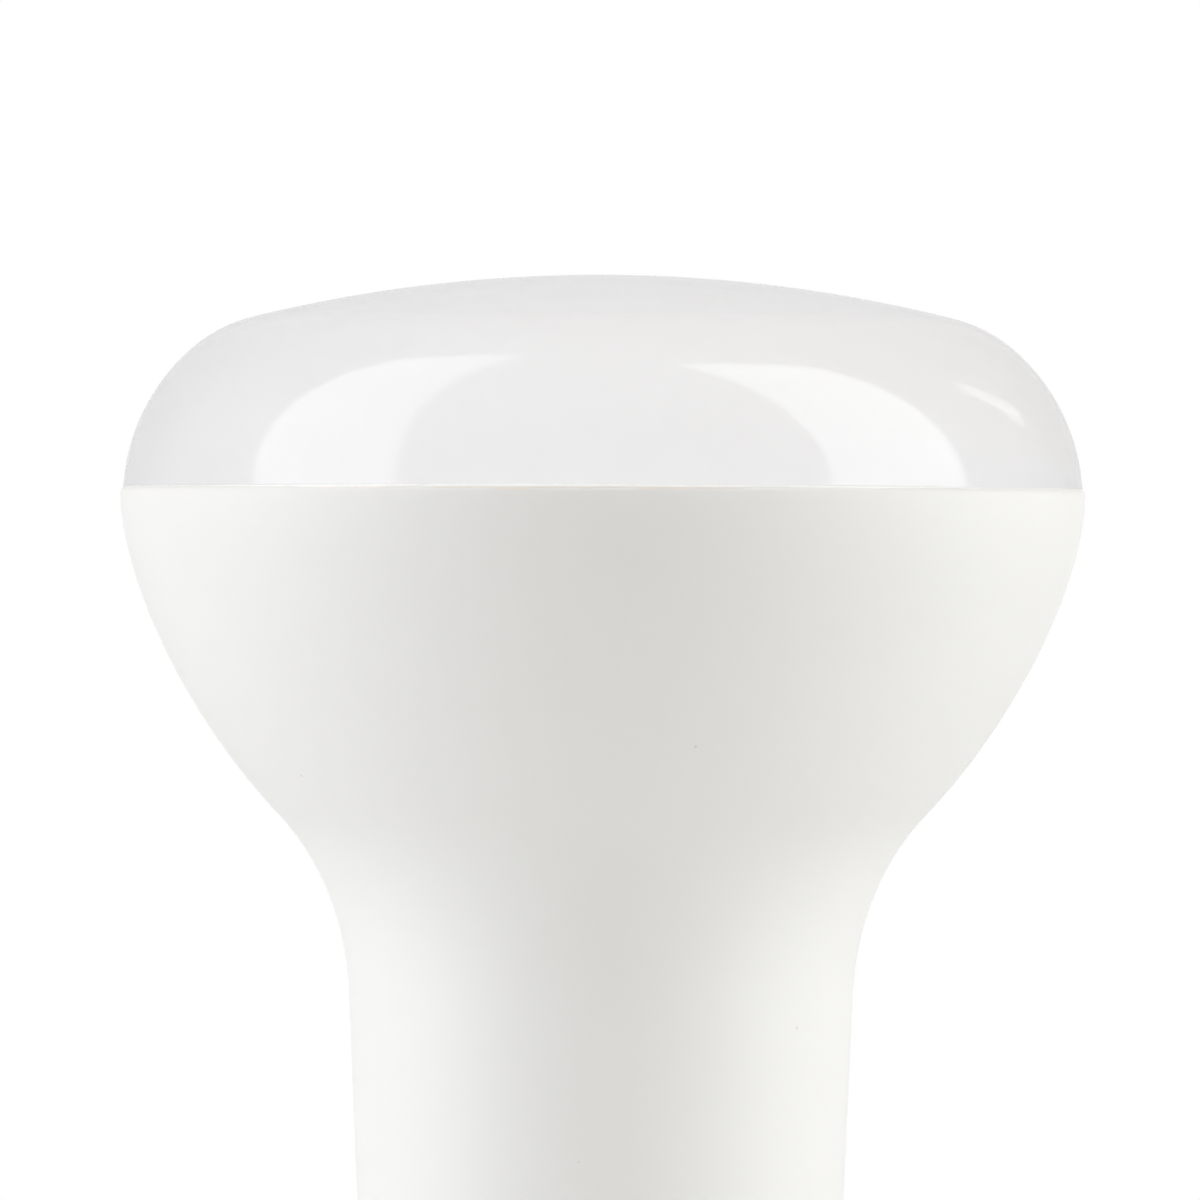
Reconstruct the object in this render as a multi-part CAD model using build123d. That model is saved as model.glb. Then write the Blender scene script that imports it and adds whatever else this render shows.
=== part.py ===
from build123d import *
from math import asin, atan2, cos, degrees, hypot, radians, sin, tan
import os

# Reflector bulb, cap down: millimetres and degrees, axis on Z, the centre contact's face at z = 0

# Overall stack: cap up to the housing's foot, then housing up to the seam under the dome
CAP_H = 24.6
HOUSING_H = 64.5

# Diffuser dome: side, shoulder and crown arcs run tangent into each other, the tilts taken from level
SEAM_STEP = 0.2
DOME_WALL = 2.0
DOME_DRAFT = 3.4
SIDE_ARC = 13.0
SHOULDER_ARC = 9.5
SHOULDER_TILT = 41.0
CROWN_TILT = 14.0
SKIRT_DEPTH = 3.0
SKIRT_WALL = 1.4
SKIRT_CLEARANCE = 0.1
SKIRT_LEAD_IN = 0.4

# Housing: the depths run down from the seam, the handles pull the bell's and the throat's curves
RIM_D = 63.0
RIM_DRAFT = 1.0
RIM_ROUND = 0.45
LIP_WALL = 1.0
DECK_CLEARANCE = 0.2
THROAT_D = 42.2
THROAT_DEPTH = 21.35
THROAT_SLOPE = 43.4
NECK_D = 32.9
NECK_DEPTH = 33.0
RIM_HANDLE = 5.7
BELL_HANDLE = 9.3
THROAT_HANDLE = 5.35
NECK_HANDLE = 2.95
FOOT_STEP = 1.8
FOOT_ROUND = 1.5

# Screw shell: rolled sheet with a right-hand knuckle thread, a plain collar above and a turned-in lip below
SHEET = 0.45
THREAD_D = 26.2
THREAD_DEPTH = 1.05
THREAD_PITCH = 3.629
THREAD_ROUND = 1.025
THREAD_GAP = 0.95
THREAD_ROOTED = 0.25
COLLAR_STEP = 0.2
COLLAR_H = 4.0
SHELL_BOTTOM = 4.6
SHELL_SHOULDER = 1.75
SHELL_LIP = 0.5
CAP_CLEARANCE = 0.05
DENT_COUNT = 8
DENT_D = 2.2
DENT_DEPTH = 0.3

# Insulator and centre contact
INSULATOR_FACE_D = 12.4
INSULATOR_SEAT = 0.9
CONTACT_D = 9.6
CONTACT_H = 1.1
CONTACT_EDGE = 0.4
STEM_D = 3.2

# Levels and radii that neighbouring pieces share
seam_z = CAP_H + HOUSING_H
skirt_z = seam_z - SKIRT_DEPTH
collar_z = CAP_H - COLLAR_H
rim_r = RIM_D / 2
lip_r = rim_r - LIP_WALL
crest_r = THREAD_D / 2
root_r = crest_r - THREAD_DEPTH
collar_r = crest_r + COLLAR_STEP
flare_z = collar_z - (collar_r - root_r)
foot_r = collar_r + FOOT_STEP
shoulder_r = root_r - SHELL_SHOULDER
shoulder_z = SHELL_BOTTOM + SHELL_SHOULDER
mouth_r = shoulder_r - SHELL_LIP
insulator_top = shoulder_z + INSULATOR_SEAT
stem_r = STEM_D / 2


def turned(section):
    """A solid of revolution from a half section drawn as radius across and height up."""
    return revolve(Plane.XZ * section, Axis.Z)


def rounded(section, corner, radius):
    """The half section with the corner at this point rounded."""
    return fillet(section.vertices().sort_by_distance((*corner, 0))[0], radius)


def polar(centre, distance, elevation):
    """The point at a distance and an elevation from a centre."""
    return (centre[0] + distance * cos(radians(elevation)), centre[1] + distance * sin(radians(elevation)))


# Diffuser dome: outer and inner arcs share their centres, so the wall is even up to the crown on the axis
side_top = 90 - SHOULDER_TILT
crown_edge = 90 - CROWN_TILT
side_c = polar((rim_r - SEAM_STEP, seam_z), -SIDE_ARC, DOME_DRAFT)
corner_c = polar(side_c, SIDE_ARC - SHOULDER_ARC, side_top)
crown_arc = SHOULDER_ARC + corner_c[0] / cos(radians(crown_edge))
crown_c = polar(corner_c, SHOULDER_ARC - crown_arc, crown_edge)


def dome_arcs(inset):
    """The dome's three arcs from the seam up to the axis, moved in by the inset."""
    return [
        CenterArc(side_c, SIDE_ARC - inset, DOME_DRAFT, side_top - DOME_DRAFT),
        CenterArc(corner_c, SHOULDER_ARC - inset, side_top, crown_edge - side_top),
        CenterArc(crown_c, crown_arc - inset, crown_edge, CROWN_TILT),
    ]


outer = dome_arcs(0)
inner = dome_arcs(DOME_WALL)
skirt_r = lip_r - SKIRT_CLEARANCE
inner_foot = inner[0] @ 0
skirt = Polyline(
    outer[0] @ 0,
    (skirt_r, seam_z),
    (skirt_r, skirt_z + SKIRT_LEAD_IN),
    (skirt_r - SKIRT_LEAD_IN, skirt_z),
    (skirt_r - SKIRT_WALL, skirt_z),
    (skirt_r - SKIRT_WALL, inner_foot.Y),
    inner_foot,
)
crown_line = Line(outer[2] @ 1, inner[2] @ 1)
diffuser_dome = turned(make_face([*outer, *inner, *skirt.edges(), crown_line]))

# Housing: bell and throat are two cubic curves with one slope where they meet, then a straight tapered neck,
# with the dome's rebate in the mouth and a stepped spigot for the cap under the foot
rim = (rim_r, seam_z)
throat = (THROAT_D / 2, seam_z - THROAT_DEPTH)
neck = (NECK_D / 2, seam_z - NECK_DEPTH)
foot = (foot_r, CAP_H)
neck_slope = degrees(atan2(neck[1] - foot[1], neck[0] - foot[0]))
throat_slope = 90 - THROAT_SLOPE
bell = Bezier(
    rim,
    polar(rim, -RIM_HANDLE, 90 - RIM_DRAFT),
    polar(throat, BELL_HANDLE, throat_slope),
    throat,
)
waist = Bezier(
    throat,
    polar(throat, -THROAT_HANDLE, throat_slope),
    polar(neck, NECK_HANDLE, neck_slope),
    neck,
)
deck_z = skirt_z - DECK_CLEARANCE
collar_seat_r = collar_r - SHEET - CAP_CLEARANCE
spigot_r = root_r - SHEET - CAP_CLEARANCE
seats = Polyline(
    neck,
    foot,
    (collar_seat_r, CAP_H),
    (collar_seat_r, collar_z),
    (spigot_r, flare_z),
    (spigot_r, insulator_top),
    (0, insulator_top),
    (0, deck_z),
    (lip_r, deck_z),
    (lip_r, seam_z),
    rim,
)
housing_half = make_face([bell, waist, *seats.edges()])
housing_half = rounded(housing_half, rim, min(RIM_ROUND, LIP_WALL / 2))
housing_half = rounded(housing_half, foot, min(FOOT_ROUND, 0.7 * (foot_r - collar_seat_r)))
housing = turned(housing_half)

# The thread's ridge: flanks tangent to a round crest, swept up a helix on a rod of the root's diameter
ridge_foot = (THREAD_PITCH - THREAD_GAP) / 2
crest_c = THREAD_DEPTH - THREAD_ROUND
reach = hypot(crest_c, ridge_foot)
flank_slope = atan2(ridge_foot, crest_c) - asin(THREAD_ROUND / reach)
flank_end = (crest_c + THREAD_ROUND * sin(flank_slope), THREAD_ROUND * cos(flank_slope))
ridge_base = ridge_foot + THREAD_ROOTED * tan(flank_slope)
ridge_section = make_face(
    [
        ThreePointArc((flank_end[0], -flank_end[1]), (THREAD_DEPTH, 0), flank_end),
        *Polyline(
            flank_end,
            (-THREAD_ROOTED, ridge_base),
            (-THREAD_ROOTED, -ridge_base),
            (flank_end[0], -flank_end[1]),
        ).edges(),
    ]
)
helix_z = SHELL_BOTTOM - THREAD_PITCH / 2
helix = Helix(THREAD_PITCH, collar_z + THREAD_PITCH / 2 - helix_z, root_r, center=(0, 0, helix_z))
helix_start = Plane(origin=helix @ 0, x_dir=(1, 0, 0), z_dir=helix % 0)
ridge = sweep(helix_start * ridge_section, path=helix, is_frenet=True)
rod_z = helix_z - THREAD_PITCH
rod_h = CAP_H + THREAD_PITCH - rod_z
rod = Pos(0, 0, rod_z) * Cylinder(root_r, rod_h, align=(Align.CENTER, Align.CENTER, Align.MIN))

# Screw shell, outside: rod and ridge are trimmed to a rounded, tapered end, then the flared collar goes on
shoulder = CenterArc((shoulder_r, shoulder_z), SHELL_SHOULDER, -90, 45)
taper_in = shoulder @ 1
taper_out = (collar_r, taper_in.Y + collar_r - taper_in.X)
blank_half = make_face(
    [
        shoulder,
        *Polyline(
            taper_in,
            taper_out,
            (collar_r, collar_z),
            (0, collar_z),
            (0, SHELL_BOTTOM),
            shoulder @ 0,
        ).edges(),
    ]
)
collar_half = make_face(
    Polyline(
        (0, flare_z - SHEET),
        (root_r - SHEET, flare_z - SHEET),
        (collar_r, collar_z),
        (collar_r, CAP_H),
        (0, CAP_H),
        close=True,
    )
)
threaded = ((rod + ridge) & turned(blank_half)) + turned(collar_half)

# Screw shell, inside: bored to a sheet's thickness, stepped out for the collar and closed in to the lip
lip_z = SHELL_BOTTOM + SHEET
bore_r = root_r - SHEET
bore_half = make_face(
    Polyline(
        (0, SHELL_BOTTOM),
        (mouth_r, SHELL_BOTTOM),
        (mouth_r, lip_z),
        (shoulder_r, lip_z),
        (bore_r, shoulder_z),
        (bore_r, flare_z),
        (collar_r - SHEET, collar_z),
        (collar_r - SHEET, CAP_H),
        (0, CAP_H),
        close=True,
    )
)
screw_shell = threaded - turned(bore_half)

# Punched dents round the collar, which lock the shell on the spigot
dent_ball = (DENT_D**2 / 4 + DENT_DEPTH**2) / (2 * DENT_DEPTH)
dent_z = CAP_H - COLLAR_H / 2
for spot in PolarLocations(collar_r - DENT_DEPTH + dent_ball, DENT_COUNT):
    screw_shell -= Pos(0, 0, dent_z) * spot * Sphere(dent_ball)

# Insulator: a cone down to the contact, and a flange that sits on the shell's lip under the spigot
flange_r = bore_r - CAP_CLEARANCE
insulator_half = make_face(
    Polyline(
        (stem_r + CAP_CLEARANCE, CONTACT_H),
        (INSULATOR_FACE_D / 2, CONTACT_H),
        (mouth_r - CAP_CLEARANCE, SHELL_BOTTOM),
        (mouth_r - CAP_CLEARANCE, lip_z),
        (shoulder_r - CAP_CLEARANCE, lip_z),
        (flange_r, shoulder_z),
        (flange_r, insulator_top),
        (stem_r + CAP_CLEARANCE, insulator_top),
        close=True,
    )
)
insulator = turned(insulator_half)

# Centre contact: a pressed button with a rounded edge and its stem up through the insulator
contact_half = make_face(
    Polyline(
        (0, 0),
        (CONTACT_D / 2, 0),
        (CONTACT_D / 2, CONTACT_H),
        (stem_r, CONTACT_H),
        (stem_r, insulator_top),
        (0, insulator_top),
        close=True,
    )
)
centre_contact = turned(rounded(contact_half, (CONTACT_D / 2, 0), min(CONTACT_EDGE, CONTACT_H / 2)))

nodes = {
    "diffuser_dome": diffuser_dome,
    "housing": housing,
    "screw_shell": screw_shell,
    "insulator": insulator,
    "centre_contact": centre_contact,
}
os.makedirs("parts", exist_ok=True)
for name, solid in nodes.items():
    export_step(solid, f"parts/{name}.step")
    print(name, len(solid.solids()), round(solid.volume, 1), solid.is_valid)
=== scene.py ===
from math import atan2, cos, hypot, pi, radians, sin, sqrt
import bpy
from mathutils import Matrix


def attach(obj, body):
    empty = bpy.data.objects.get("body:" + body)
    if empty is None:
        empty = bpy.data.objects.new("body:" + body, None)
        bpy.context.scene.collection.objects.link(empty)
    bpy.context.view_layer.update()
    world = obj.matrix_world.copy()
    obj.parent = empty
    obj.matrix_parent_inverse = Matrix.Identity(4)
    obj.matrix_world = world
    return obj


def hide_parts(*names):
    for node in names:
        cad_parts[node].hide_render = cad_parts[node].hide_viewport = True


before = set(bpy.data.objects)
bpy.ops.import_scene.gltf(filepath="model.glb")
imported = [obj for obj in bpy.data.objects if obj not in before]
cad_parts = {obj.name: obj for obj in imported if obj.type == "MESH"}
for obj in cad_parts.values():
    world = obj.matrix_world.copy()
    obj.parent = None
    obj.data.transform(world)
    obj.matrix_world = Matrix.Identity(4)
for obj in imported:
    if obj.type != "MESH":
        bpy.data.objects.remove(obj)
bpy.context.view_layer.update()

# Centre contact: the button at the foot of the cap, pressed from plated sheet, with a rounded rim and a
# shallow pip in its face. Its stem runs up through the insulator and is riveted over inside.
mm = 0.001
contact_r, contact_h, contact_edge = 4.8, 1.1, 0.4
stem_r, stem_top = 1.6, 7.25
pip = [(0, 0.16), (0.3, 0.155), (0.55, 0.12), (0.8, 0.05), (0.95, 0.012), (1.1, 0.0)]
face_ring = (2.4, 0.0)


def arc_points(centre, radius, start, end, steps):
    """Points along an arc in the half section, as radius and height, from one elevation to another."""
    turn = [radians(start + (end - start) * k / steps) for k in range(steps + 1)]
    return [(centre[0] + radius * cos(a), centre[1] + radius * sin(a)) for a in turn]


def turn_piece(name, outline, sides):
    """A turned piece: a ring pulled along its half section, in millimetres, and closed on axis or itself."""
    on_axis = outline[0][0] == 0
    ring_r, ring_z = outline[1] if on_axis else outline[0]
    bpy.ops.object.select_all(action="DESELECT")
    bpy.ops.mesh.primitive_circle_add(
        vertices=sides,
        radius=ring_r * mm,
        fill_type="TRIFAN" if on_axis else "NOTHING",
        location=(0, 0, ring_z * mm),
    )
    piece = bpy.context.object
    piece.name = name
    bpy.ops.object.transform_apply(location=True, rotation=True, scale=True)
    bpy.ops.object.mode_set(mode="EDIT")
    bpy.ops.mesh.select_all(action="DESELECT")
    bpy.ops.object.mode_set(mode="OBJECT")
    for point in piece.data.vertices:
        if hypot(point.co.x, point.co.y) < ring_r * mm / 2:
            point.co.z = outline[0][1] * mm
        else:
            point.select = True
    bpy.ops.object.mode_set(mode="EDIT")
    bpy.ops.mesh.select_mode(type="VERT")
    for radius, height in outline[2 if on_axis else 1:]:
        bpy.ops.mesh.extrude_region_move(TRANSFORM_OT_translate={"value": (0, 0, (height - ring_z) * mm)})
        if radius == 0:
            bpy.ops.mesh.merge(type="CENTER")
            break
        grow = radius / ring_r
        bpy.ops.transform.resize(value=(grow, grow, 1), center_override=(0, 0, height * mm))
        ring_r, ring_z = radius, height
    bpy.ops.mesh.select_all(action="SELECT")
    bpy.ops.mesh.remove_doubles(threshold=0.000002)
    bpy.ops.mesh.normals_make_consistent(inside=False)
    bpy.ops.object.mode_set(mode="OBJECT")
    bpy.ops.object.shade_smooth_by_angle(angle=radians(32))
    return piece


contact = turn_piece(
    "contact_button",
    pip
    + [face_ring]
    + arc_points((contact_r - contact_edge, contact_edge), contact_edge, -90, 0, steps=8)
    + [(contact_r, contact_h), (stem_r, contact_h), (stem_r, stem_top), (0, stem_top)],
    sides=128,
)


def start_group(name, takes, gives):
    """A new shared effect with number sockets, and the sockets at its two inner ends."""
    group = bpy.data.node_groups.new(name, "ShaderNodeTree")
    for socket in takes:
        group.interface.new_socket(socket, in_out="INPUT", socket_type="NodeSocketFloat")
    for socket in gives:
        group.interface.new_socket(socket, in_out="OUTPUT", socket_type="NodeSocketFloat")
    return group, group.nodes.new("NodeGroupInput").outputs, group.nodes.new("NodeGroupOutput").inputs


def feed(tree, slot, value):
    """Gives a socket a plain value, or links another socket to it."""
    if isinstance(value, bpy.types.NodeSocket):
        tree.links.new(value, slot)
    else:
        slot.default_value = value


def place_node(tree, kind, **sockets):
    """Puts a node in a material or a group, and feeds the sockets that are named."""
    node = tree.nodes.new(kind)
    for name, value in sockets.items():
        feed(tree, node.inputs[name.replace("_", " ")], value)
    return node


def place_math(tree, operation, first, second=0.0):
    """Puts a sum between two sockets or numbers, and gives its result."""
    node = tree.nodes.new("ShaderNodeMath")
    node.operation = operation
    feed(tree, node.inputs[0], first)
    feed(tree, node.inputs[1], second)
    return node.outputs[0]


# Marks that drawing, rolling and polishing leave round a turned sheet, and the clouds of a dulled plating.
turning_marks, marks_in, marks_out = start_group(
    "turning_marks", ("Across", "Along", "Clouding"), ("Marks", "Clouds", "Radius")
)
spot = turning_marks.nodes.new("ShaderNodeTexCoord").outputs["Object"]
apart = place_node(turning_marks, "ShaderNodeSeparateXYZ", Vector=spot).outputs
square_x = place_math(turning_marks, "MULTIPLY", apart["X"], apart["X"])
square_y = place_math(turning_marks, "MULTIPLY", apart["Y"], apart["Y"])
from_axis = place_math(turning_marks, "SQRT", place_math(turning_marks, "ADD", square_x, square_y))
profile = place_math(turning_marks, "ADD", from_axis, apart["Z"])
drawn_out = place_node(
    turning_marks,
    "ShaderNodeCombineXYZ",
    X=place_math(turning_marks, "MULTIPLY", apart["X"], marks_in["Along"]),
    Y=place_math(turning_marks, "MULTIPLY", apart["Y"], marks_in["Along"]),
    Z=place_math(turning_marks, "MULTIPLY", profile, marks_in["Across"]),
)
streaks = place_node(
    turning_marks, "ShaderNodeTexNoise", Vector=drawn_out.outputs[0], Scale=1.0, Detail=3.0, Roughness=0.6
)
clouds = place_node(
    turning_marks, "ShaderNodeTexNoise", Vector=spot, Scale=marks_in["Clouding"], Detail=4.0, Roughness=0.55
)
turning_marks.links.new(streaks.outputs["Fac"], marks_out["Marks"])
turning_marks.links.new(clouds.outputs["Fac"], marks_out["Clouds"])
turning_marks.links.new(from_axis, marks_out["Radius"])


def start_material(name):
    """A new material, with its node tree and its shader."""
    material = bpy.data.materials.new(name)
    material.use_nodes = True
    return material, material.node_tree, material.node_tree.nodes["Principled BSDF"]


def place_group(tree, group, **sockets):
    """Puts a shared effect in a material with its own values, and gives what it puts out."""
    node = tree.nodes.new("ShaderNodeGroup")
    node.node_tree = group
    for name, value in sockets.items():
        feed(tree, node.inputs[name], value)
    return node.outputs


def place_range(tree, value, start, end, low, high, smooth=False):
    """Turns a socket's run from start to end into one from low to high, and gives the result."""
    node = place_node(
        tree, "ShaderNodeMapRange", Value=value, From_Min=start, From_Max=end, To_Min=low, To_Max=high
    )
    if smooth:
        node.interpolation_type = "SMOOTHSTEP"
    return node.outputs["Result"]


def mix_tones(tree, factor, first, second):
    """Mixes two tones, each a colour or a socket, by a socket's value, and gives the result."""
    node = tree.nodes.new("ShaderNodeMix")
    node.data_type = "RGBA"
    feed(tree, node.inputs["Factor"], factor)
    for slot, tone in (("A", first), ("B", second)):
        feed(tree, node.inputs[slot], (*tone, 1) if isinstance(tone, tuple) else tone)
    return node.outputs["Result"]


def place_gloss(tree, shader, value, spread, least):
    """Lets a surface grow rougher with a socket's value, by a spread over the least roughness."""
    rough = place_math(tree, "ADD", place_math(tree, "MULTIPLY", value, spread), least)
    tree.links.new(rough, shader.inputs["Roughness"])


def place_relief(tree, shader, height, strength):
    """Gives a surface a relief of hundredths of a millimetre that follows a socket's value."""
    relief = place_node(tree, "ShaderNodeBump", Strength=strength, Distance=0.02 * mm, Height=height)
    tree.links.new(relief.outputs["Normal"], shader.inputs["Normal"])


# Its plating is dull round the rim and rubbed bright in the middle, where a lampholder's spring presses.
rubbed_r, dull_r = 1.2, 3.8
cloud_share, least_dull, rim_dull = 0.9, 0.35, 0.7
bright_plating, dull_plating = (0.72, 0.695, 0.63), (0.4, 0.36, 0.3)
plated, tree, shader = start_material("plated_contact")
shader.inputs["Metallic"].default_value = 1
marks = place_group(tree, turning_marks, Across=5200, Along=260, Clouding=620)
rubbed = place_range(tree, marks["Radius"], rubbed_r * mm, dull_r * mm, low=0.0, high=rim_dull)
dull = place_math(tree, "MULTIPLY", marks["Clouds"], cloud_share)
dull = place_math(tree, "MULTIPLY", dull, place_math(tree, "ADD", rubbed, least_dull))
tree.links.new(mix_tones(tree, dull, bright_plating, dull_plating), shader.inputs["Base Color"])
place_gloss(tree, shader, dull, spread=0.35, least=0.2)
place_relief(tree, shader, marks["Marks"], strength=0.35)
contact.data.materials.append(plated)
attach(contact, "root")
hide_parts("centre_contact")

# Insulator: the black ring between contact and shell, moulded with a cone down to the contact and a flange
# that the shell's lip holds up against the housing.
shell_bottom, sheet, fit = 4.6, 0.45, 0.05
mouth_r, shoulder_r, root_r = 9.8, 10.3, 12.05
cone_face_r, cone_round = 5.75, 0.4
cone_end = ((0.32, 0.34), (0.12, 0.12))
bore_r, throat_r = stem_r + fit, mouth_r - fit
flange_r, flange_z = root_r - sheet - fit, 6.35
insulator = turn_piece(
    "insulator_ring",
    [(bore_r, contact_h), (cone_face_r, contact_h)]
    + arc_points((cone_face_r, contact_h + cone_round), cone_round, -80, -45, steps=4)
    + [(mouth_r - inward, shell_bottom - below) for inward, below in cone_end]
    + [
        (throat_r, shell_bottom + fit),
        (throat_r, shell_bottom + sheet),
        (shoulder_r - fit, shell_bottom + sheet),
        (flange_r, flange_z),
        (flange_r, stem_top),
        (bore_r, stem_top),
        (bore_r, contact_h),
    ],
    sides=160,
)

# The grain that a mould leaves in plastic, its faint flow patches, and the odd dark speck in the melt.
moulding_grain, grain_in, grain_out = start_group(
    "moulding_grain", ("Fineness", "Patching"), ("Grain", "Patches", "Specks")
)
spot = moulding_grain.nodes.new("ShaderNodeTexCoord").outputs["Object"]
fine = place_node(
    moulding_grain, "ShaderNodeTexNoise", Vector=spot, Scale=grain_in["Fineness"], Detail=2.0, Roughness=0.6
)
flow = place_node(
    moulding_grain, "ShaderNodeTexNoise", Vector=spot, Scale=grain_in["Patching"], Detail=3.0, Roughness=0.5
)
seeds = place_node(moulding_grain, "ShaderNodeTexVoronoi", Vector=spot, Scale=170.0, Randomness=1.0)
speck_heart, speck_edge = 0.012, 0.022
specks = place_range(moulding_grain, seeds.outputs["Distance"], speck_heart, speck_edge, low=1.0, high=0.0)
moulding_grain.links.new(fine.outputs["Fac"], grain_out["Grain"])
moulding_grain.links.new(flow.outputs["Fac"], grain_out["Patches"])
moulding_grain.links.new(specks, grain_out["Specks"])

deep_black, worn_black = (0.008, 0.008, 0.0095), (0.022, 0.021, 0.022)
black, tree, shader = start_material("black_insulator")
grain = place_group(tree, moulding_grain, Fineness=3200, Patching=240)
tree.links.new(mix_tones(tree, grain["Patches"], deep_black, worn_black), shader.inputs["Base Color"])
place_gloss(tree, shader, grain["Patches"], spread=0.16, least=0.14)
place_relief(tree, shader, grain["Grain"], strength=0.12)
insulator.data.materials.append(black)
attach(insulator, "root")
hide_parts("insulator")

# Screw shell: thin plated sheet, drawn to a cup and rolled with a right-hand knuckle thread. The thread dies
# away into the rounded lip below and the plain collar above, where punched dents lock the shell on the neck.
collar_r, pitch, thread_depth = 13.3, 3.629, 1.05
thread_start, collar_z, cap_top = 2.7855, 20.6, 24.6
shoulder_arc = 1.75
lip_soft, flare_soft = 0.5, 0.4
thread_rings, collar_rings = 108, 24
dent_count, dent_reach, dent_depth = 8, 1.15, 0.3
rolled_thin = 0.8
hair = 0.001
flare_z = collar_z - (collar_r - root_r)
dent_z = (collar_z + cap_top) / 2
shell_lip = arc_points((shoulder_r, shell_bottom + shoulder_arc), shoulder_arc, -90, -45, steps=8)
lip_end_r, lip_end_z = shell_lip[-1]
wall = [(root_r, lip_end_z + (collar_z - lip_end_z) * k / thread_rings) for k in range(1, thread_rings + 1)]
collar = [(collar_r, collar_z + (cap_top - collar_z) * k / collar_rings) for k in range(1, collar_rings + 1)]
shell = turn_piece(
    "screw_shell_rolled",
    [(mouth_r, shell_bottom), ((mouth_r + shoulder_r) / 2, shell_bottom)] + shell_lip + wall + collar,
    sides=288,
)


def knuckle(along):
    """The thread's height over its root: a round crest that runs tangent into a round groove."""
    along = (along + pitch / 2) % pitch - pitch / 2
    quarter = pitch / 4
    curve = (quarter * quarter + thread_depth * thread_depth / 4) / thread_depth
    if abs(along) < quarter:
        return thread_depth - curve + sqrt(curve * curve - along * along)
    away = pitch / 2 - abs(along)
    return curve - sqrt(curve * curve - away * away)


def eased_min(a, b, soft):
    """The lesser of two values, with the change from one to the other rounded off."""
    mix = max(0.0, soft - abs(a - b)) / soft
    return min(a, b) - mix * mix * soft / 4


for point in shell.data.vertices:
    radius, height = hypot(point.co.x, point.co.y) / mm, point.co.z / mm
    angle = atan2(point.co.y, point.co.x)
    wanted = radius
    if lip_end_z + hair < height < collar_z + hair:
        rolled = root_r + knuckle(height - thread_start - pitch * angle / (2 * pi))
        tapered = lip_end_r + height - lip_end_z
        flared = root_r + height - flare_z
        wanted = eased_min(rolled, tapered, lip_soft)
        wanted = -eased_min(-wanted, -flared, flare_soft)
        wanted = min(wanted, collar_r)
    if height > collar_z:
        for k in range(dent_count):
            off = (angle - 2 * pi * k / dent_count + pi) % (2 * pi) - pi
            reach = hypot(off * collar_r, height - dent_z) / dent_reach
            wanted -= dent_depth * max(0.0, 1 - reach * reach) ** 2
    point.co.x *= wanted / radius
    point.co.y *= wanted / radius
sheet_wall = shell.modifiers.new("sheet", "SOLIDIFY")
sheet_wall.thickness = sheet * mm * rolled_thin
sheet_wall.offset = -1
bpy.ops.object.select_all(action="DESELECT")
shell.select_set(True)
bpy.context.view_layer.objects.active = shell
bpy.ops.object.modifier_apply(modifier="sheet")
bpy.ops.object.shade_smooth_by_angle(angle=radians(50))

# Nickel with dull clouds and drawing streaks, and painted shade that darkens it down in the grooves, where it
# is also rougher.
groove_r, crest_r = 12.15, 12.8
cloud_share, streak_share, groove_shade_share = 0.5, 0.18, 0.55
bright_nickel, dull_and_shaded_nickel = (0.74, 0.725, 0.685), (0.47, 0.445, 0.4)
nickel, tree, shader = start_material("plated_shell")
shader.inputs["Metallic"].default_value = 1
marks = place_group(tree, turning_marks, Across=4600, Along=55, Clouding=210)
groove_shade = place_range(tree, marks["Radius"], groove_r * mm, crest_r * mm, low=groove_shade_share, high=0.0)
dull = place_math(tree, "MULTIPLY", marks["Clouds"], cloud_share)
dull = place_math(tree, "ADD", dull, place_math(tree, "MULTIPLY", marks["Marks"], streak_share))
# Painted shade: the groove mask is added here, so the nickel is darker down in the grooves as well as dulled
# by clouds and streaks.
dull = place_math(tree, "ADD", dull, groove_shade)
tree.links.new(mix_tones(tree, dull, bright_nickel, dull_and_shaded_nickel), shader.inputs["Base Color"])
place_gloss(tree, shader, dull, spread=0.22, least=0.12)
place_relief(tree, shader, marks["Marks"], strength=0.16)
shell.data.materials.append(nickel)
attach(shell, "root")
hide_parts("screw_shell")

# Housing: bell, throat and neck moulded in one piece in matte warm white plastic. A rebate in its mouth takes
# the dome, its rim is rounded over, and the stepped spigot under its foot fills the cap.
seam_z, rim_r, lip_r, rim_round = 89.1, 31.5, 30.5, 0.45
foot_r, foot_round, deck_z = 15.1, 1.5, 85.9
collar_seat_r, spigot_r = 12.8, 11.55
throat, neck = (21.1, seam_z - 21.35), (16.45, seam_z - 33.0)
throat_slope = radians(90 - 43.4)
neck_lean = atan2(neck[1] - cap_top, neck[0] - foot_r)
bell_start, bell_handle = (rim_r - 0.008, seam_z - rim_round), (rim_r - 0.1, seam_z - 5.7)
bell_pull, waist_pull, neck_pull = 9.3, -5.35, 2.95
neck_rings, rim_turn = 20, 58


def curve_points(a, b, c, d, steps):
    """Points along a cubic curve with two handles, from just after its start to its end."""
    points = []
    for k in range(1, steps + 1):
        t = k / steps
        s = 1 - t
        weigh = (s * s * s, 3 * s * s * t, 3 * s * t * t, t * t * t)
        points.append(tuple(sum(w * p[i] for w, p in zip(weigh, (a, b, c, d))) for i in (0, 1)))
    return points


def reach_from(point, distance, angle):
    """A point of the half section at some distance from another one, along an elevation in radians."""
    return (point[0] + distance * cos(angle), point[1] + distance * sin(angle))


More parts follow.
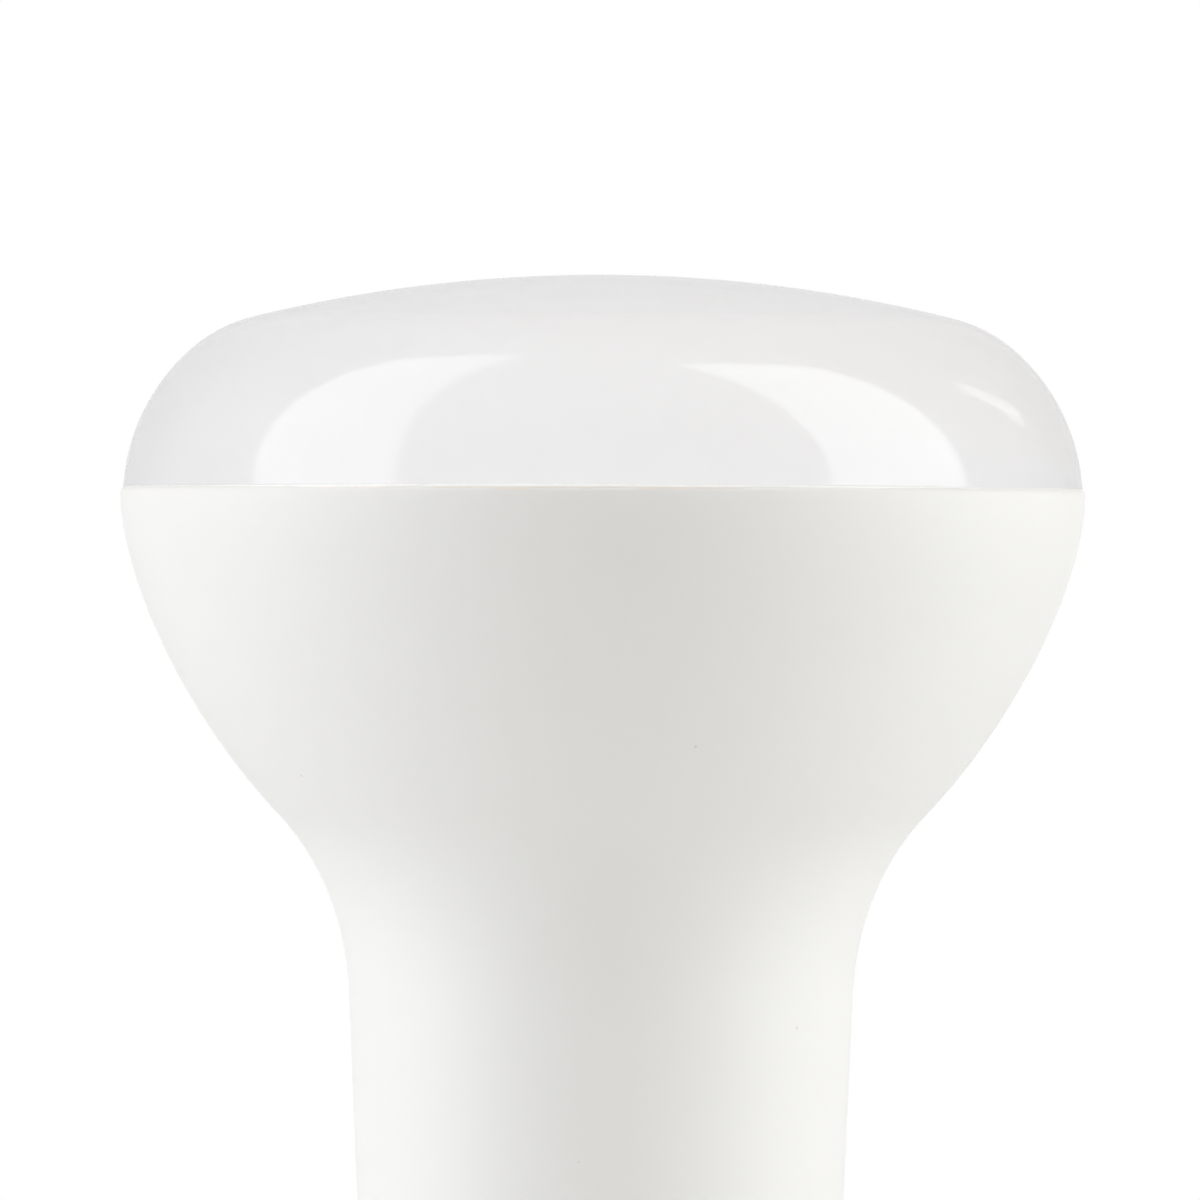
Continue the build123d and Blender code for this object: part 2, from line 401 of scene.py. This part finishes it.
bell = curve_points(
    bell_start, bell_handle, reach_from(throat, bell_pull, throat_slope), throat, steps=48
)
waist = curve_points(
    throat,
    reach_from(throat, waist_pull, throat_slope),
    reach_from(neck, neck_pull, neck_lean),
    neck,
    steps=28,
)
foot_start = (foot_r + foot_round * cos(neck_lean) / sin(neck_lean), cap_top + foot_round)
neck_run = [
    tuple(top + (end - top) * k / neck_rings for top, end in zip(neck, foot_start))
    for k in range(1, neck_rings)
]
foot = arc_points((foot_start[0] - foot_round, foot_start[1]), foot_round, 0, -90, steps=8)
rim_centre = (bell_start[0] - rim_round, seam_z - rim_round)
deck = [(0, deck_z), (8, deck_z), (20, deck_z), (lip_r, deck_z)]
lip_fall = [(lip_r, seam_z - 0.85), (lip_r + 0.7, seam_z - 0.12)]
spigot = [(collar_seat_r, cap_top), (collar_seat_r, collar_z), (spigot_r, flare_z), (spigot_r, stem_top)]
spigot_face = [(5, stem_top), (0, stem_top)]
housing = turn_piece(
    "housing_moulding",
    deck
    + lip_fall
    + arc_points(rim_centre, rim_round, rim_turn, 0, steps=7)
    + bell
    + waist
    + neck_run
    + foot
    + spigot
    + spigot_face,
    sides=288,
)


def read_height(tree):
    """Gives the height on the lamp of the spot that is being shaded."""
    spot = tree.nodes.new("ShaderNodeTexCoord").outputs["Object"]
    return place_node(tree, "ShaderNodeSeparateXYZ", Vector=spot).outputs["Z"]


# A fine spark-eroded grain, hardly visible patches, a few specks, and a warmer, darker tint painted along the
# rim for light shining through the thin lip.
cool_white, clean_white = (0.795, 0.79, 0.777), (0.821, 0.816, 0.807)
lip_light_tint, speck_brown = (0.8, 0.784, 0.764), (0.68, 0.655, 0.615)
warm_from, warm_to = seam_z - 0.5, seam_z - 0.15
white, tree, shader = start_material("matte_white_plastic")
grain = place_group(tree, moulding_grain, Fineness=5000, Patching=70)
near_rim = place_range(tree, read_height(tree), warm_from * mm, warm_to * mm, low=0.0, high=1.0)
tone = mix_tones(tree, grain["Patches"], cool_white, clean_white)
# Painted light: the band just under the rim is tinted warmer and darker, standing in for light shining
# through the lip.
tone = mix_tones(tree, near_rim, tone, lip_light_tint)
tone = mix_tones(tree, grain["Specks"], tone, speck_brown)
tree.links.new(tone, shader.inputs["Base Color"])
place_gloss(tree, shader, grain["Patches"], spread=0.14, least=0.48)
place_relief(tree, shader, grain["Grain"], strength=0.12)
housing.data.materials.append(white)
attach(housing, "root")
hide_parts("housing")

# Diffuser dome: an opal moulding with a polished outside, pushed and glued into the rebate by the skirt under
# its edge. It is filled here, so that light spreads in it as in the thin shell and the chamber behind.
dome_r, draft, side_arc, shoulder_curve = 31.3, 3.4, 13.0, 9.5
side_top, crown_edge, crown_stop = 49.0, 76.0, 89.6
skirt_in, skirt_out, skirt_foot, skirt_lead = 29.0, 30.4, 86.1, 0.4
skirt_top = seam_z - 0.6
side_c = (dome_r - side_arc * cos(radians(draft)), seam_z - side_arc * sin(radians(draft)))
corner_c = reach_from(side_c, side_arc - shoulder_curve, radians(side_top))
crown_arc = shoulder_curve + corner_c[0] / cos(radians(crown_edge))
crown_c = (0, corner_c[1] - (crown_arc - shoulder_curve) * sin(radians(crown_edge)))
dome = turn_piece(
    "dome_moulding",
    [(0, seam_z), (12, seam_z), (24, seam_z)]
    + arc_points(side_c, side_arc, draft, side_top, steps=22)
    + arc_points(corner_c, shoulder_curve, side_top, crown_edge, steps=12)[1:]
    + arc_points(crown_c, crown_arc, crown_edge, crown_stop, steps=16)[1:]
    + [(0, crown_c[1] + crown_arc)],
    sides=448,
)
skirt = turn_piece(
    "dome_skirt",
    [
        (skirt_in, skirt_top),
        (skirt_in, skirt_foot),
        (skirt_out - skirt_lead, skirt_foot),
        (skirt_out, skirt_foot + skirt_lead),
        (skirt_out, skirt_top),
        (skirt_in, skirt_top),
    ],
    sides=128,
)

# Opal plastic: light goes deep into it, under a clear polished skin with hardly any dust on it.
dense_opal, clear_opal = (0.833, 0.831, 0.842), (0.863, 0.861, 0.87)
patch_haze, dust_haze = 0.03, 0.2
opal, tree, shader = start_material("opal_plastic")
shader.inputs["Specular IOR Level"].default_value = 0
shader.inputs["Coat IOR"].default_value = 1.47
shader.inputs["Coat Roughness"].default_value = 0.085
shader.inputs["Coat Tint"].default_value = (0.83, 0.825, 0.83, 1)
shader.inputs["Subsurface Weight"].default_value = 1.0
shader.inputs["Subsurface Radius"].default_value = (1, 1, 1)
shader.inputs["Subsurface Scale"].default_value = 0.1
grain = place_group(tree, moulding_grain, Fineness=900, Patching=90)
tree.links.new(mix_tones(tree, grain["Patches"], dense_opal, clear_opal), shader.inputs["Base Color"])
place_gloss(tree, shader, grain["Patches"], spread=0.1, least=0.25)
haze = place_math(tree, "MULTIPLY", grain["Patches"], patch_haze)
haze = place_math(tree, "ADD", haze, place_math(tree, "MULTIPLY", grain["Specks"], dust_haze))
tree.links.new(place_math(tree, "SUBTRACT", 1.0, haze), shader.inputs["Coat Weight"])
for piece in (dome, skirt):
    piece.data.materials.append(opal)
    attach(piece, "root")
    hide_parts("diffuser_dome")

# The light that gathers in the chamber behind the dome comes from a dim disc right under the dome's foot.
chamber_r, chamber_z, chamber_glow = 0.03123, 0.08906, 0.64
chamber = bpy.data.lights.new("chamber_light", "AREA")
chamber.shape = "DISK"
chamber.size = 2 * chamber_r
chamber.energy = chamber_glow * pi * pi * chamber_r * chamber_r
chamber_light = bpy.data.objects.new("chamber_light", chamber)
bpy.context.scene.collection.objects.link(chamber_light)
chamber_light.location = (0, 0, chamber_z)
chamber_light.rotation_euler = (pi, 0, 0)

# Glue line: a hair of clear white adhesive squeezed out along the dome's foot, fuller in some stretches
# than in others, with a few drops that run down over the rounded rim.
bead_in, bead_out, bead_top, ring_gap = 31.26, 31.3, 89.15, 0.03
back_foot, back_top = (bead_in, 88.93), (bead_in, 89.14)
least_glue, tucked_in, proud_reach, stand_off = 0.15, 0.003, 0.12, 0.006
edge_in, edge_down = 0.06, 0.03
# Middle and reach in degrees round the lamp, and fullness.
squeezed = ((-96, 50, 1.0), (44, 24, 0.5), (98, 36, 0.9), (150, 18, 0.4))
# Middle and reach in degrees, and how far the drop runs down.
drops = (
    (-101.4, 1.7, 0.07),
    (-85.2, 1.3, 0.06),
    (-80.4, 1.4, 0.04),
    (-41, 2, 0.04),
    (20, 2, 0.06),
    (75, 3, 0.05),
)
# Height, waves in a round and lead of the bead's unevenness.
ripples = ((0.5, 17, 0.0), (0.4, 43, 1.3), (0.35, 101, 0.4))
unevenness = 0.3
# From the top ring down: how far each stands out, how high it lies, and its share of a drop's run.
ring_shape = (
    (0, 0.03, 0),
    (0.3, 0.015, 0),
    (0.6, -0.015, 0.1),
    (0.85, -0.055, 0.4),
    (1, -0.1, 0.8),
    (1.05, 0, 1),
    (1, 0, 1),
)
rim_ring, edge_ring = 5, 6
front = [(bead_out, bead_top - ring_gap * k) for k in range(edge_ring, -1, -1)]
bead = turn_piece("glue_bead", [back_foot] + front + [back_top, back_foot], sides=720)


def swell(angle, stretches):
    """The sum at a turn round the lamp of rounded stretches, each with its middle, its reach and its size."""
    total = 0.0
    for middle, reach, size in stretches:
        off = ((angle - radians(middle) + pi) % (2 * pi) - pi) / radians(reach)
        total += size * max(0.0, 1 - off * off)
    return total


for point in bead.data.vertices:
    radius, height = hypot(point.co.x, point.co.y) / mm, point.co.z / mm
    angle = atan2(point.co.y, point.co.x)
    if radius > (bead_in + bead_out) / 2:
        uneven = sum(size * sin(waves * angle + lead) for size, waves, lead in ripples)
        amount = (least_glue + swell(angle, squeezed)) * (1 + unevenness * uneven)
        step = round((bead_top - height) / ring_gap)
        reach_out, lie, drip = ring_shape[step]
        wanted = dome_r - tucked_in + proud_reach * amount * reach_out
        level = lie * amount - drip * swell(angle, drops)
        if step >= rim_ring:
            level += sqrt(rim_round**2 - (wanted - rim_centre[0]) ** 2) - rim_round
        over_centre = min(level + rim_round, rim_round)
        wanted = max(wanted, rim_centre[0] + sqrt(rim_round**2 - over_centre**2) + stand_off)
        if step == edge_ring:
            wanted, level = wanted - edge_in, level - edge_down
        point.co.z = (seam_z + level) * mm
        point.co.x *= wanted / radius
        point.co.y *= wanted / radius
bpy.ops.object.select_all(action="DESELECT")
bead.select_set(True)
bpy.context.view_layer.objects.active = bead
bpy.ops.object.shade_smooth_by_angle(angle=radians(40))

# It is whiter where it stands proud and a little amber where it runs down.
thin_glue, full_glue, amber_glue = (0.765, 0.76, 0.753), (0.95, 0.945, 0.94), (0.82, 0.765, 0.705)
thin_r, full_r, full_white, patch_share = 31.31, 31.4, 0.8, 0.15
amber_z, pale_z = seam_z - 0.18, seam_z - 0.09
glue, tree, shader = start_material("white_adhesive")
grain = place_group(tree, moulding_grain, Fineness=6000, Patching=900)
marks = place_group(tree, turning_marks)
proud = place_range(tree, marks["Radius"], thin_r * mm, full_r * mm, low=0.0, high=full_white)
thick = place_math(tree, "ADD", proud, place_math(tree, "MULTIPLY", grain["Patches"], patch_share))
run_down = place_range(tree, read_height(tree), amber_z * mm, pale_z * mm, low=1.0, high=0.0)
tone = mix_tones(tree, thick, thin_glue, full_glue)
tone = mix_tones(tree, place_math(tree, "MULTIPLY", run_down, proud), tone, amber_glue)
tree.links.new(tone, shader.inputs["Base Color"])
place_gloss(tree, shader, grain["Grain"], spread=0.2, least=0.2)
bead.data.materials.append(glue)
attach(bead, "root")

# Floor: a pale round table top that fades into the white ground and keeps the bulb's shadow. It is clear from
# below, and under the contact's face it lets light through, though not to the camera.
table_r, table_z = 0.6, -0.0002
fade_from, fade_to = 0.25, 0.58
bpy.ops.object.select_all(action="DESELECT")
bpy.ops.mesh.primitive_circle_add(vertices=96, radius=table_r, fill_type="NGON", location=(0, 0, table_z))
floor = bpy.context.object
floor.name = "table_top"
bpy.ops.object.transform_apply(location=True, rotation=True, scale=True)
pale, tree, shader = start_material("pale_table")
shader.inputs["Base Color"].default_value = (0.85, 0.85, 0.85, 1)
shader.inputs["Roughness"].default_value = 0.9
away = tree.nodes.new("ShaderNodeVectorMath")
away.operation = "LENGTH"
tree.links.new(tree.nodes.new("ShaderNodeTexCoord").outputs["Object"], away.inputs[0])
fade = place_range(tree, away.outputs["Value"], fade_from, fade_to, low=1.0, high=0.0, smooth=True)
under = tree.nodes.new("ShaderNodeNewGeometry").outputs["Backfacing"]
seen = tree.nodes.new("ShaderNodeLightPath").outputs["Is Camera Ray"]
closed = place_math(tree, "GREATER_THAN", away.outputs["Value"], (contact_r - contact_edge) * mm)
closed = place_math(tree, "MAXIMUM", closed, seen)
cover = place_math(tree, "MULTIPLY", place_math(tree, "SUBTRACT", 1.0, under), closed)
tree.links.new(place_math(tree, "MULTIPLY", fade, cover), shader.inputs["Alpha"])
floor.data.materials.append(pale)

# Light: a tall soft panel on each side, a little in front, a small pale card behind on the right, and a pale
# room that fills the rest. Each panel has its corners, as turn from the front and rise seen from the dome,
# its glow, and how much of that glow a polished surface mirrors.
panel_distance = 4.0
panels = {
    "left_panel": (((-48, -10), (-89.5, -10), (-109, 60), (-91, 79)), (3.27, 3.32, 3.46), 0.74),
    "right_panel": (((56.4, -10), (96.4, -10), (101, 59), (57, 77)), (3.34, 3.38, 3.42), 0.88),
    "small_card": (((123, 33), (127, 36), (137, 20), (133, 17)), (1.35, 1.35, 1.35), 1.0),
}
for name, (corners, glow_colour, mirrored) in panels.items():
    bpy.ops.object.select_all(action="DESELECT")
    bpy.ops.mesh.primitive_plane_add(size=1)
    panel = bpy.context.object
    panel.name = name
    for index, (side, rise) in zip((0, 1, 3, 2), corners):
        side, rise = radians(side), radians(rise)
        panel.data.vertices[index].co = (
            panel_distance * sin(side) * cos(rise),
            -panel_distance * cos(side) * cos(rise),
            seam_z * mm + panel_distance * sin(rise),
        )
    glow, tree, shader = start_material(name + "_glow")
    tree.nodes.remove(shader)
    glossy = tree.nodes.new("ShaderNodeLightPath").outputs["Is Glossy Ray"]
    strength = place_range(tree, glossy, start=0.0, end=1.0, low=1.0, high=mirrored)
    lamp = place_node(tree, "ShaderNodeEmission", Color=(*glow_colour, 1), Strength=strength)
    tree.links.new(lamp.outputs[0], tree.nodes["Material Output"].inputs["Surface"])
    panel.data.materials.append(glow)
    panel.visible_camera = False


def dim(tree, tone, share):
    """Scales a tone, given as numbers or a socket, by a socket's value, and gives the result."""
    node = tree.nodes.new("ShaderNodeVectorMath")
    node.operation = "SCALE"
    feed(tree, node.inputs[0], tone)
    feed(tree, node.inputs["Scale"], share)
    return node.outputs["Vector"]


# The room is white to the eye. As light it is dimmer towards the camera, and polished surfaces mirror it
# darker behind the bulb on both sides.
room_fill, room_mirrored, room_seen = (0.441, 0.424, 0.362), (0.76, 0.75, 0.76), (1, 1, 1)
side_gloom, gloom_lean, front_dusk = 0.5, 0.2, 0.54
world = bpy.data.worlds.new("pale_room")
bpy.context.scene.world = world
world.use_nodes = True
tree = world.node_tree
ray = tree.nodes.new("ShaderNodeLightPath").outputs
heading = tree.nodes.new("ShaderNodeTexCoord").outputs["Generated"]
apart = place_node(tree, "ShaderNodeSeparateXYZ", Vector=heading).outputs
aside = place_math(tree, "ABSOLUTE", apart["X"])
aloft = place_math(tree, "ABSOLUTE", apart["Z"])
aside = place_math(tree, "SUBTRACT", aside, place_math(tree, "MULTIPLY", aloft, gloom_lean))
beside = place_range(tree, aside, start=0.1, end=0.55, low=0.0, high=side_gloom)
behind = place_range(tree, apart["Y"], start=-0.1, end=0.25, low=0.0, high=1.0)
upward = place_range(tree, apart["Z"], start=0.0, end=0.2, low=0.5, high=1.0)
gloom = place_math(tree, "MULTIPLY", place_math(tree, "MULTIPLY", beside, behind), upward)
mirrored_room = dim(tree, room_mirrored, place_math(tree, "SUBTRACT", 1.0, gloom))
towards_camera = place_math(tree, "MULTIPLY", apart["Y"], -1.0)
dusk = place_range(tree, towards_camera, start=0.3, end=0.95, low=1.0, high=front_dusk, smooth=True)
lit = dim(tree, mix_tones(tree, ray["Is Glossy Ray"], room_fill, mirrored_room), dusk)
seen = place_math(tree, "MAXIMUM", ray["Is Camera Ray"], ray["Is Transmission Ray"])
tree.links.new(mix_tones(tree, seen, lit, room_seen), tree.nodes["Background"].inputs["Color"])

# Camera: level with the bell, a metre away, with the long lens that the flat seam asks for, and turned a
# fifth of a degree in its frame, as the photograph is.
camera_x, camera_drop, camera_turn = -0.164, 7.31, -0.2
lens = bpy.data.cameras.new("camera")
lens.lens = 459.5
lens.sensor_width = 36
camera = bpy.data.objects.new("camera", lens)
bpy.context.scene.collection.objects.link(camera)
camera.location = (camera_x * mm, -1.0, (seam_z - camera_drop) * mm)
camera.rotation_euler = (radians(90), radians(camera_turn), 0)
bpy.context.scene.camera = camera
bpy.context.scene.view_settings.view_transform = "Standard"
